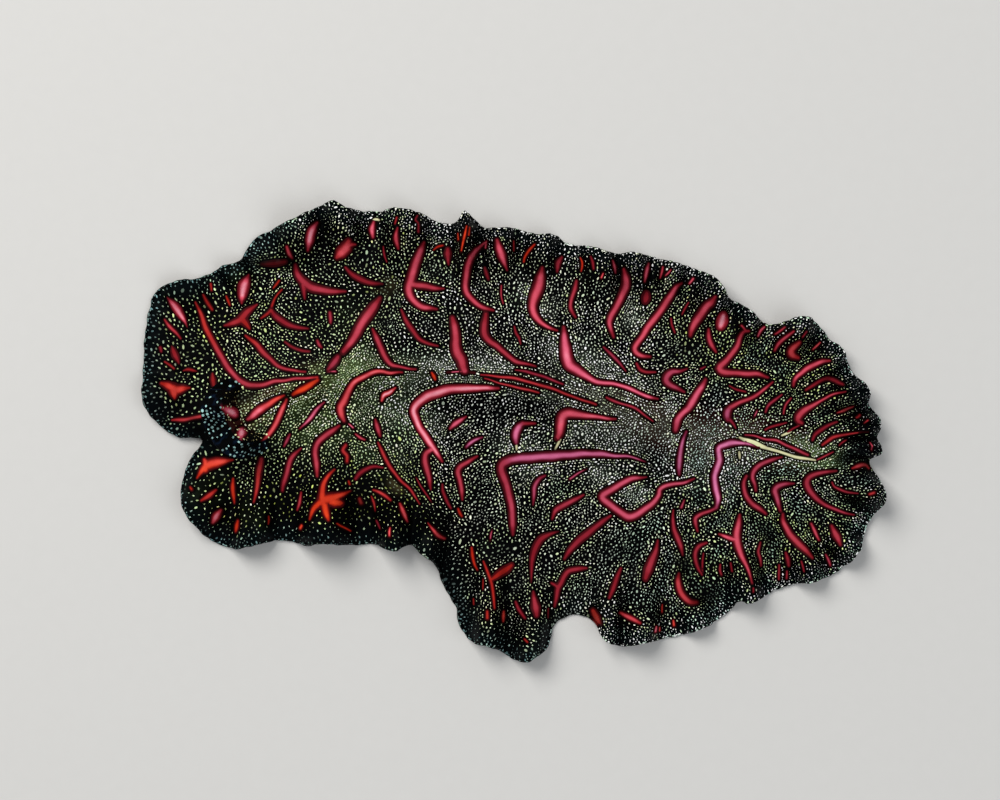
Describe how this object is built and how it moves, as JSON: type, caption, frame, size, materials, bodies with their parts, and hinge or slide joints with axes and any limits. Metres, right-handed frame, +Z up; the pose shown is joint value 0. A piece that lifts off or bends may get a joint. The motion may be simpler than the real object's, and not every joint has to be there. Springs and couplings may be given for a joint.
{
  "type": "marine flatworm",
  "caption": "Life-size persian carpet flatworm, a thin ruffled sheet resting on its sole with two ear-like pseudotentacles at the head.",
  "frame": {"origin": "middle of the bounding box in plan, on the floor the sole rests on", "axes": "-X towards the head, +X towards the tail, +Y to the animal's right, +Z up"},
  "size_m": [0.0802, 0.0495, 0.007],
  "materials": {
    "body_flesh": "wet skin, near black under cream and green dots, soft flesh",
    "midline_flesh": "wet skin, dark crimson along the median ridge, soft flesh",
    "margin_flesh": "wet skin, blue-black with pale teal dots, soft flesh"
  },
  "bodies": {
    "root": {"head": "body_flesh", "tail": "body_flesh", "trunk_front": "midline_flesh", "trunk_middle": "midline_flesh", "trunk_rear": "midline_flesh", "flank_right_front": "body_flesh", "flank_right_rear": "body_flesh", "flank_left_front": "body_flesh", "flank_left_rear": "body_flesh", "frill_right_lobe": "margin_flesh", "frill_right_shoulder": "margin_flesh", "frill_right_front": "margin_flesh", "frill_right_middle": "margin_flesh", "frill_right_rear": "margin_flesh", "frill_right_tail": "margin_flesh", "frill_left_tail": "margin_flesh", "frill_left_rear": "margin_flesh", "frill_left_middle": "margin_flesh", "frill_left_front": "margin_flesh", "frill_left_shoulder": "margin_flesh", "frill_left_lobe": "margin_flesh", "pseudotentacle_right": "margin_flesh", "pseudotentacle_left": "margin_flesh"}
  },
  "joints": []
}
